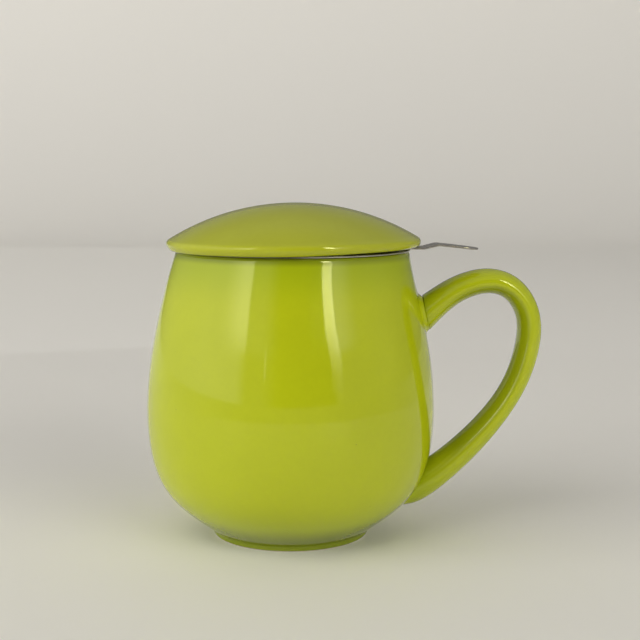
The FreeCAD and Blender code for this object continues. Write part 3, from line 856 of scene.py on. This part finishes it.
tip = tab_long - 5.3 + 5.3 * np.sin(np.linspace(0, math.pi / 2, 27))
heel = 1.5 - 1.5 * np.cos(np.linspace(0, math.pi / 2, 9))
st = np.concatenate([heel, np.linspace(1.5, tab_long - 5.3, 86)[1:], tip[1:]])
px = np.interp(st, d, mid_line[:, 0])
pz = np.interp(st, d, mid_line[:, 1])
tx = np.gradient(px, st + np.arange(len(st)) * 1e-9)
tz = np.gradient(pz, st + np.arange(len(st)) * 1e-9)
tl = np.hypot(tx, tz)
tx, tz = tx / tl, tz / tl
half_w = tab_half(st)
ease_end = np.clip(np.minimum(st, tab_long - st) / EASE, 0, 1)
tabs = Shell()
CROSS = 44
prev, first = None, None
for k in range(len(st)):
    w, h = half_w[k], TAB_T / 2
    e = min(EASE, w * 0.6)
    shrink = EASE * (1 - math.sqrt(max(0.0, 1 - (1 - ease_end[k]) ** 2)))
    h = h - shrink
    ring_p = []
    ys = np.linspace(-(w - e), w - e, CROSS)
    for y in ys:
        lift = h
        xx = px[k]
        for cx, cy in ((35.25, -2.7), (35.25, 2.7)):
            q = math.hypot(xx - cx, y - cy)
            lift -= 0.09 * math.exp(-(q / 0.85) ** 4)
            lift += 0.03 * math.exp(-((q - 1.25) / 0.28) ** 2)
        ring_p.append((y, lift))
    for t in np.linspace(90, -90, 9)[1:-1]:
        ring_p.append((w - e + e * math.cos(math.radians(t)),
                       (h - e) * (1 if t > 0 else -1 if t < 0 else 0)
                       + e * math.sin(math.radians(t))))
    for y in ys[::-1]:
        ring_p.append((y, -h))
    for t in np.linspace(-90, 90, 9)[1:-1]:
        ring_p.append((-(w - e) - e * math.cos(math.radians(t)),
                       (h - e) * (1 if t > 0 else -1 if t < 0 else 0)
                       + e * math.sin(math.radians(t))))
    q = np.array(ring_p)
    row = tabs.add(np.stack([px[k] - tz[k] * q[:, 1], q[:, 0],
                             pz[k] + tx[k] * q[:, 1]], 1))
    if prev is None:
        first = row
    else:
        tabs.strip(prev, row)
    prev = row
for ring_, flip_ in ((first, True), (prev, False)):
    p = np.concatenate(tabs.points)[ring_].mean(0)
    tabs.fan(ring_, tabs.add([p])[0], flip=flip_)


def weld_tint(nt, x, y, z, rr, turn, c):
    """Straw and brown heat colour round the two spot welds."""
    ay = calc(nt, "ABSOLUTE", y)
    dx = calc(nt, "SUBTRACT", x, 0.03525)
    dy = calc(nt, "SUBTRACT", ay, 0.0027)
    q = calc(nt, "SQRT", calc(nt, "ADD", calc(nt, "MULTIPLY", dx, dx),
                              calc(nt, "MULTIPLY", dy, dy)))
    c = blend_colour(nt, spread(nt, q, 0.0026, 0.0014, 0.0, 0.55), c,
                     (0.52, 0.41, 0.25))
    return blend_colour(nt, spread(nt, q, 0.0013, 0.0007, 0.0, 0.7), c,
                        (0.40, 0.36, 0.34))


tab_steel = steel("tab_brushed_steel", (0.50, 0.465, 0.43), 0.24, 0.36, 90.0, tint=weld_tint,
                  turned_grain=False, aniso=0.0)
tab_piece = tabs.piece("infuser_tab_steel", [tab_steel])
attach(tab_piece, "infuser")
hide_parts("infuser_tab")

# ------------------------------------------------- perforated basket wall
N_CELL, N_ROW = 104, 28
SEAM_AT = math.radians(-128.0)
pitch_a = TAU / (N_CELL + 2.9)
FIELD_LO, ROW_UP = 36.2, 1.56
H_SIDE = ROW_UP / 1.5
HOLE = 0.50


def basket_r(z):
    return np.interp(z, [31.3, 83.6, 88.9], [28.6, 31.77, 31.77])


def basket_point(x, z, deep, bead=0.0):
    """x counts cells round the wall, deep is the way in from the outside."""
    x, z = np.asarray(x, float), np.asarray(z, float)
    t = SEAM_AT + x * pitch_a
    r = basket_r(z) - deep + bead
    return np.stack([r * np.cos(t), r * np.sin(t), z + 0 * t], -1)


basket = Shell()
zc = FIELD_LO + H_SIDE + np.arange(N_ROW) * ROW_UP
off = 0.5 * (np.arange(N_ROW) % 2)
seam_x = np.concatenate([[N_CELL + 0.5 + 0.34], N_CELL + 0.5 + np.linspace(0.72, 1.68, 9),
                         [N_CELL + 0.5 + 2.06]])
bead_h = 0.13 * np.exp(-((seam_x - (N_CELL + 1.7)) / 0.26) ** 2)
layers = {}
for side_name, deep in (("out", 0.0), ("in", 0.4)):
    L = np.zeros((N_ROW, N_CELL + 1), int)
    U = np.zeros((N_ROW, N_CELL + 1), int)
    i = np.arange(N_CELL + 1)
    for j in range(N_ROW):
        zl = zc[j] - (H_SIDE if j == 0 else H_SIDE / 2)
        zu = zc[j] + (H_SIDE if j == N_ROW - 1 else H_SIDE / 2)
        L[j] = basket.add(basket_point(i + off[j], np.full(N_CELL + 1, zl), deep))
        U[j] = basket.add(basket_point(i + off[j], np.full(N_CELL + 1, zu), deep))
    c = np.arange(N_CELL)
    B = basket.add(basket_point(c + 0.5 + off[0],
                                np.full(N_CELL, zc[0] - H_SIDE), deep))
    T = basket.add(basket_point(c + 0.5 + off[-1],
                                np.full(N_CELL, zc[-1] + H_SIDE), deep))
    rings = np.zeros((N_ROW, N_CELL, 12), int)
    for j in range(N_ROW):
        for m in range(12):
            a = math.radians(-150 + 30 * m)
            rings[j, :, m] = basket.add(basket_point(
                c + 0.5 + off[j] + HOLE * math.cos(a) / (pitch_a * float(basket_r(zc[j]))),
                np.full(N_CELL, zc[j] + HOLE * math.sin(a)), deep))
    flip_face = side_name == "in"

    def put(ring, slot=0):
        basket.face(ring[::-1] if flip_face else ring, slot)

    for j in range(N_ROW):
        even_row = off[j] == 0
        for k in range(N_CELL):
            bottom = B[k] if j == 0 else U[j - 1][k if even_row else k + 1]
            top = T[k] if j == N_ROW - 1 else L[j + 1][k if even_row else k + 1]
            corner = [L[j][k], bottom, L[j][k + 1], U[j][k + 1], top, U[j][k]]
            hole = rings[j, k]
            for q in range(6):
                put([corner[q], corner[(q + 1) % 6], hole[(2 * q + 2) % 12],
                     hole[2 * q + 1], hole[2 * q]])
    # plain strip with the weld bead
    levels = []
    for j in range(N_ROW):
        levels += [(L[j][N_CELL], L[j][0], zc[j] - (H_SIDE if j == 0 else H_SIDE / 2)),
                   (U[j][N_CELL], U[j][0], zc[j] + (H_SIDE if j == N_ROW - 1 else H_SIDE / 2))]
    seam_rows = []
    for right, left, z in levels:
        p = basket_point(seam_x, np.full(len(seam_x), z), deep,
                         bead_h if side_name == "out" else -0.6 * bead_h)
        seam_rows.append(np.concatenate([[right], basket.add(p), [left]]))
    for a, b in zip(seam_rows[:-1], seam_rows[1:]):
        for q in range(len(a) - 1):
            put([a[q], a[q + 1], b[q + 1], b[q]])
    # plain borders under and over the holes
    low_ring = [v for k in range(N_CELL) for v in (L[0][k], B[k])] + [L[0][N_CELL]]
    low_x = [v for k in range(N_CELL) for v in (k + off[0], k + 0.5 + off[0])] + [N_CELL + off[0]]
    low_ring += list(seam_rows[0][1:-1])
    low_x += list(seam_x)
    high_ring = [v for k in range(N_CELL) for v in (U[-1][k], T[k])] + [U[-1][N_CELL]]
    high_x = [v for k in range(N_CELL) for v in (k + off[-1], k + 0.5 + off[-1])] + [N_CELL + off[-1]]
    high_ring += list(seam_rows[-1][1:-1])
    high_x += list(seam_x)
    bead_all = np.concatenate([np.zeros(2 * N_CELL + 1), bead_h]) * (1 if side_name == "out" else -0.6)
    cur = np.array(low_ring)
    for z in (35.4, 34.4, 33.3, 32.2, 31.3):
        row = basket.add(basket_point(np.array(low_x), np.full(len(low_x), z), deep, bead_all))
        for q in range(len(cur)):
            w = (q + 1) % len(cur)
            put([row[q], row[w], cur[w], cur[q]])
        cur = row
    bottom_ring = cur
    cur = np.array(high_ring)
    for z, fade in ((81.2, 1.0), (82.2, 1.0), (83.1, 0.5), (83.6, 0.0), (84.6, 0.0),
                    (86.0, 0.0), (87.5, 0.0), (88.9, 0.0)):
        row = basket.add(basket_point(np.array(high_x), np.full(len(high_x), z), deep,
                                      bead_all * fade))
        for q in range(len(cur)):
            w = (q + 1) % len(cur)
            put([cur[q], cur[w], row[w], row[q]])
        cur = row
    layers[side_name] = (rings, bottom_ring, cur)
(r_out, b_out, t_out), (r_in, b_in, t_in) = layers["out"], layers["in"]
for j in range(N_ROW):
    for k in range(N_CELL):
        o_, i_ = r_out[j, k], r_in[j, k]
        for m in range(12):
            w = (m + 1) % 12
            basket.face((o_[m], o_[w], i_[w], i_[m]))
n = len(b_out)
for q in range(n):
    w = (q + 1) % n
    basket.face((b_out[w], b_out[q], b_in[q], b_in[w]))
    basket.face((t_out[q], t_out[w], t_in[w], t_in[q]))


def seam_tint(nt, x, y, z, rr, turn, c):
    """Heat colour along the welded seam."""
    at = SEAM_AT + pitch_a * (N_CELL + 1.7)
    at = (at + math.pi) % TAU - math.pi
    q = calc(nt, "ABSOLUTE", calc(nt, "SUBTRACT", turn, at))
    c = blend_colour(nt, spread(nt, q, 0.055, 0.020, 0.0, 0.45), c,
                     (0.52, 0.42, 0.27))
    return blend_colour(nt, spread(nt, q, 0.020, 0.008, 0.0, 0.6), c,
                        (0.37, 0.35, 0.36))


basket_steel = steel("basket_satin_steel", STEEL, 0.26, 0.38, 5.0, tint=seam_tint,
                     aniso=0.3)
basket_piece = basket.piece("infuser_wall_perforated", [basket_steel], smooth=False)
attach(basket_piece, "infuser")
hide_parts("infuser_wall")

# ------------------------------------------------- perforated basket base
pan = Shell()
N_PAN = 180
slope_b = (31.77 - 28.6) / (83.6 - 31.3)
in_low = 28.63
in_high = in_low + slope_b * 3.0
side_line = rounded([(24.2, 31.8), (25.4, 30.9), (in_low + 0.4, 30.9),
                     (in_high + 0.4, 34.3), (in_high, 34.3), (in_low, 31.3),
                     (25.4, 31.3), (24.2, 32.2)],
                    [0, 0.5, 0.38, 0.15, 0.15, 0.1, 0.5, 0], 5)
side_line = split_runs(side_line, 1.2)
tp = np.arange(N_PAN) * TAU / N_PAN
pan_rows = [pan.add(np.stack([r * np.cos(tp), r * np.sin(tp), np.full(N_PAN, z)], 1))
            for r, z in side_line]
for a, b in zip(pan_rows[:-1], pan_rows[1:]):
    pan.strip(a, b)
PITCH = 1.80
centres = []
for j in range(-14, 15):
    for i in range(-14, 15):
        x = (i + 0.5 * (j % 2)) * PITCH
        y = j * PITCH * math.sqrt(3) / 2
        if math.hypot(x, y) < 22.4:
            centres.append((x, y))
centres = np.array(centres)
ma = np.radians(np.arange(12) * 30.0)
holes = centres[:, None, :] + HOLE * np.stack([np.cos(ma), np.sin(ma)], 1)[None]
flat = [Vector((24.2 * math.cos(t), 24.2 * math.sin(t))) for t in tp]
cons = [(k, (k + 1) % N_PAN) for k in range(N_PAN)]
for h in holes:
    s = len(flat)
    flat += [Vector((float(q[0]), float(q[1]))) for q in h]
    cons += [(s + m, s + (m + 1) % 12) for m in range(12)]
cdt = delaunay_2d_cdt(flat, cons, [], 1, 1e-6)
cdt_v, cdt_f = cdt[0], cdt[2]
orig = [o[0] if o else -1 for o in cdt[3]]
cv = np.array([(p.x, p.y) for p in cdt_v])
keep_faces = []
for f in cdt_f:
    q = cv[list(f)].mean(0)
    if np.min(np.hypot(*(centres - q).T)) > HOLE * 0.955 and math.hypot(*q) < 24.2:
        u, v = cv[f[1]] - cv[f[0]], cv[f[2]] - cv[f[0]]
        keep_faces.append(list(f) if u[0] * v[1] - u[1] * v[0] > 0 else list(f)[::-1])
maps = {}
for label, z, ring_row in (("top", 32.2, pan_rows[-1]), ("bottom", 31.8, pan_rows[0])):
    ids = pan.add(np.concatenate([cv, np.full((len(cv), 1), z)], 1))
    ids = np.array(ids)
    for k, o in enumerate(orig):
        if 0 <= o < N_PAN:
            ids[k] = ring_row[o]
    for f in keep_faces:
        ring_f = [ids[k] for k in f]
        pan.face(ring_f if label == "top" else ring_f[::-1])
    maps[label] = {o: ids[k] for k, o in enumerate(orig)}
for h in range(len(holes)):
    s = N_PAN + 12 * h
    for m in range(12):
        a, b = s + m, s + (m + 1) % 12
        pan.face((maps["top"][a], maps["top"][b], maps["bottom"][b], maps["bottom"][a]))
pan_steel = steel("base_satin_steel", STEEL, 0.26, 0.38, 5.0, aniso=0.3)
pan_piece = pan.piece("infuser_base_perforated", [pan_steel], smooth=False)
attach(pan_piece, "infuser")
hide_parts("infuser_base")

# --------------------------------------------------------------------- stage
def plain(name, colour, rough):
    m, nt, bsdf = material(name)
    bsdf.inputs["Base Color"].default_value = (*colour, 1.0)
    bsdf.inputs["Roughness"].default_value = rough
    return m


def plane(name, corners, mat):
    mesh = bpy.data.meshes.new(name)
    mesh.from_pydata(corners, [], [tuple(range(len(corners)))])
    mesh.materials.append(mat)
    mesh.update()
    o = bpy.data.objects.new(name, mesh)
    bpy.context.scene.collection.objects.link(o)
    return o


floor_mat = plain("floor_paint", (0.86, 0.84, 0.795), 0.60)


def sheet(name, line):
    """A broad sheet along X that follows a line of (out, up) points."""
    verts, faces = [], []
    for y, z in line:
        verts += [(-4.5, y, z), (4.5, y, z)]
    for k in range(len(line) - 1):
        faces.append((2 * k, 2 * k + 1, 2 * k + 3, 2 * k + 2))
    mesh = bpy.data.meshes.new(name)
    mesh.from_pydata(verts, [], faces)
    mesh.materials.append(floor_mat)
    mesh.polygons.foreach_set("use_smooth", np.full(len(faces), True))
    mesh.update()
    o = bpy.data.objects.new(name, mesh)
    bpy.context.scene.collection.objects.link(o)
    return o


floor = sheet("floor", [(-4.0, 0.0), (1.3, 0.0)])
backdrop = sheet("backdrop", [(1.3 + 0.7 * math.sin(t), 0.7 - 0.7 * math.cos(t))
                              for t in np.linspace(0, math.pi / 2, 28)] + [(2.0, 3.5)])
backdrop.visible_glossy = False

world = bpy.data.worlds.new("studio")
bpy.context.scene.world = world
world.use_nodes = True
back = world.node_tree.nodes["Background"]
back.inputs["Color"].default_value = (0.98, 0.96, 0.93, 1.0)
back.inputs["Strength"].default_value = 0.04

DOME_R = 3.0


def dome_part(name, az0, az1, el0, el1, mat, step=5.0):
    """Part of a big sphere round the mug. Angle 0 is straight in front of it,
    positive towards the handle."""
    na = max(1, int(round((az1 - az0) / step)))
    ne = max(1, int(round((el1 - el0) / step)))
    pts, quads = [], []
    for j in range(ne + 1):
        e = math.radians(el0 + (el1 - el0) * j / ne)
        for i in range(na + 1):
            a = math.radians(az0 + (az1 - az0) * i / na)
            pts.append((DOME_R * math.cos(e) * math.sin(a),
                        -DOME_R * math.cos(e) * math.cos(a),
                        DOME_R * math.sin(e)))
    for j in range(ne):
        for i in range(na):
            k = j * (na + 1) + i
            quads.append((k, k + 1, k + na + 2, k + na + 1))
    me = bpy.data.meshes.new(name)
    me.from_pydata(pts, [], quads)
    me.materials.append(mat)
    me.update()
    o = bpy.data.objects.new(name, me)
    o.location = (0.0, 0.0, 0.05)
    bpy.context.scene.collection.objects.link(o)
    o.visible_camera = False
    o.visible_shadow = False
    o.visible_transmission = False
    o.visible_volume_scatter = False
    return o


def glow(name, strength):
    m = bpy.data.materials.new(name)
    m.use_nodes = True
    nt = m.node_tree
    nt.nodes.clear()
    out = node(nt, "ShaderNodeOutputMaterial")
    em = node(nt, "ShaderNodeEmission")
    em.inputs["Color"].default_value = (1.0, 0.985, 0.955, 1.0)
    if strength is not None:
        em.inputs["Strength"].default_value = strength
    nt.links.new(em.outputs[0], out.inputs[0])
    return m, nt, em


# Soft light: broad panels that light the scene and are not mirrored.
PANELS = [("panel_a", -125, -90, 2, 14, 3.7), ("panel_b", -90, -70, 2, 14, 8.5),
          ("panel_c", -90, -70, 14, 30, 1.5), ("panel_d", -70, -52, 2, 14, 5.0),
          ("panel_e", -70, -52, 14, 30, 2.9), ("panel_f", -52, -33, 14, 30, 4.3),
          ("panel_g", -90, 0, 30, 55, 1.45), ("panel_h", 18, 36, 14, 30, 5.6),
          ("panel_i", 36, 54, 14, 30, 7.0), ("panel_j", 36, 72, 2, 14, 0.5),
          ("panel_k", 54, 72, 14, 30, 2.8), ("panel_l", 72, 95, 2, 14, 3.3),
          ("panel_top", -180, 180, 55, 88, 0.32), ("panel_back", 100, 235, 25, 50, 0.30)]
for name, az0, az1, el0, el1, strength in PANELS:
    o = dome_part(name, az0, az1, el0, el1, glow(name, strength)[0], 7.5)
    o.visible_glossy = False

# What the glaze and the steel mirror: one window to the left with a brighter
# right side, a narrow strip to the right and a dark front between them.
m, nt, em = glow("mirror_room", None)
sep = node(nt, "ShaderNodeSeparateXYZ")
nt.links.new(object_space(nt), sep.inputs[0])
az = calc(nt, "MULTIPLY", calc(nt, "ARCTAN2", sep.outputs[0],
                               calc(nt, "MULTIPLY", sep.outputs[1], -1.0)), 57.29578)
el = calc(nt, "MULTIPLY", calc(nt, "ARCSINE",
                               calc(nt, "DIVIDE", sep.outputs[2], DOME_R)), 57.29578)


def mul(*v):
    out = v[0]
    for k in v[1:]:
        out = calc(nt, "MULTIPLY", out, k)
    return out


def add(*v):
    out = v[0]
    for k in v[1:]:
        out = calc(nt, "ADD", out, k)
    return out


high = spread(nt, el, 11.0, 14.0)
over = spread(nt, el, 50.0, 36.0)
behind = mul(spread(nt, el, 4.0, 20.0), 0.10)
window_lean = add(mul(spread(nt, az, -150.0, -75.0, smooth=False), 0.98), 0.10, behind)
right_side = add(mul(spread(nt, az, -36.6, -38.2), high),
                 mul(spread(nt, az, -34.0, -45.0), calc(nt, "SUBTRACT", 1.0, high)))
edge_light = mul(right_side, spread(nt, az, -72.0, -42.0), spread(nt, az, -80.0, -42.0),
                 spread(nt, el, 9.0, 19.0), 2.5)
shelf = mul(spread(nt, az, -8.0, -26.0), calc(nt, "SUBTRACT", 1.0, right_side),
            add(0.30, mul(high, 0.22)))
strip_axis = add(36.8, mul(spread(nt, el, 8.0, 20.0), -3.3),
                 mul(spread(nt, el, 22.0, 25.0), 0.4))
strip_off = calc(nt, "ABSOLUTE", calc(nt, "SUBTRACT", az, strip_axis))
strip_up = calc(nt, "POWER", spread(nt, el, 5.0, 20.5, smooth=False), 1.5)
strip = mul(spread(nt, strip_off, 5.2, 3.8), spread(nt, el, 1.0, 4.0),
            add(0.4, mul(strip_up, 7.0), mul(spread(nt, el, 21.8, 24.6), 9.5)))
glint = mul(spread(nt, calc(nt, "ABSOLUTE", calc(nt, "SUBTRACT", az, -20.4)), 1.0, 0.4),
            spread(nt, el, 5.5, 8.0), spread(nt, el, 15.0, 12.5), 1.6)
right_room = mul(spread(nt, az, 33.0, 39.0),
                 add(0.34, mul(spread(nt, az, 62.0, 38.0), high, 0.95),
                     mul(spread(nt, az, 75.0, 125.0), add(behind, -0.24))))
wide = add(0.07, mul(over, add(mul(right_side, window_lean), shelf, right_room)),
           mul(calc(nt, "SUBTRACT", 1.0, over), 0.33))
warm = mul(over, add(edge_light, strip, glint))
nt.links.new(vector(nt, add(wide, warm), add(mul(wide, 0.985), mul(warm, 0.975)),
                    add(mul(wide, 0.955), mul(warm, 0.50))), em.inputs["Color"])
em.inputs["Strength"].default_value = 1.0
room = dome_part("mirror_room", -180, 180, -1, 89, m, 5.0)
room.visible_diffuse = False

# The far floor as the glaze mirrors it: even and dull, seen in mirrors only.
m, nt, em = glow("mirror_floor", None)
fx, fy, fz, far, fturn = round_place(nt, object_space(nt))
f_az = calc(nt, "MULTIPLY", calc(nt, "ARCTAN2", fx, calc(nt, "MULTIPLY", fy, -1.0)), 57.29578)
f_left = spread(nt, f_az, -20.0, -80.0)
f_right = spread(nt, f_az, 25.0, 60.0)
f_level = add(0.36, mul(f_left, 0.26), mul(f_right, 0.04))
nt.links.new(vector(nt, f_level, mul(f_level, 0.985), mul(f_level, 0.93)),
             em.inputs["Color"])
em.inputs["Strength"].default_value = 1.0
ring_pts, ring_quads = [], []
for radius in (0.42, 0.8, 1.5, 3.0):
    for k in range(72):
        t = TAU * k / 72
        ring_pts.append((radius * math.cos(t), radius * math.sin(t), 0.0015))
for j in range(3):
    for k in range(72):
        ring_quads.append((72 * j + k, 72 * (j + 1) + k, 72 * (j + 1) + (k + 1) % 72,
                           72 * j + (k + 1) % 72))
me = bpy.data.meshes.new("mirror_floor")
me.from_pydata(ring_pts, [], ring_quads)
me.materials.append(m)
me.update()
far_floor = bpy.data.objects.new("mirror_floor", me)
bpy.context.scene.collection.objects.link(far_floor)
far_floor.visible_camera = False
far_floor.visible_diffuse = False
far_floor.visible_shadow = False
far_floor.visible_transmission = False
far_floor.visible_volume_scatter = False

# -------------------------------------------------------------------- camera
yaw, pitch, roll = math.radians(1.301), math.radians(6.991), math.radians(0.231)
ahead = Vector((math.sin(yaw) * math.cos(pitch), math.cos(yaw) * math.cos(pitch),
                -math.sin(pitch)))
right0 = Vector((math.cos(yaw), -math.sin(yaw), 0.0))
up0 = right0.cross(ahead)
right = right0 * math.cos(roll) + up0 * math.sin(roll)
up = up0 * math.cos(roll) - right0 * math.sin(roll)
turn_m = Matrix((right, up, -ahead)).transposed()
cam_data = bpy.data.cameras.new("camera")
cam_data.sensor_width = 36.0
cam_data.lens = 72.205
cam_data.clip_start = 0.01
cam_data.clip_end = 50.0
cam = bpy.data.objects.new("camera", cam_data)
cam.matrix_world = Matrix.Translation((0.0, -0.400, 0.11661)) @ turn_m.to_4x4()
bpy.context.scene.collection.objects.link(cam)
bpy.context.scene.camera = cam
bpy.context.scene.view_settings.view_transform = "Standard"
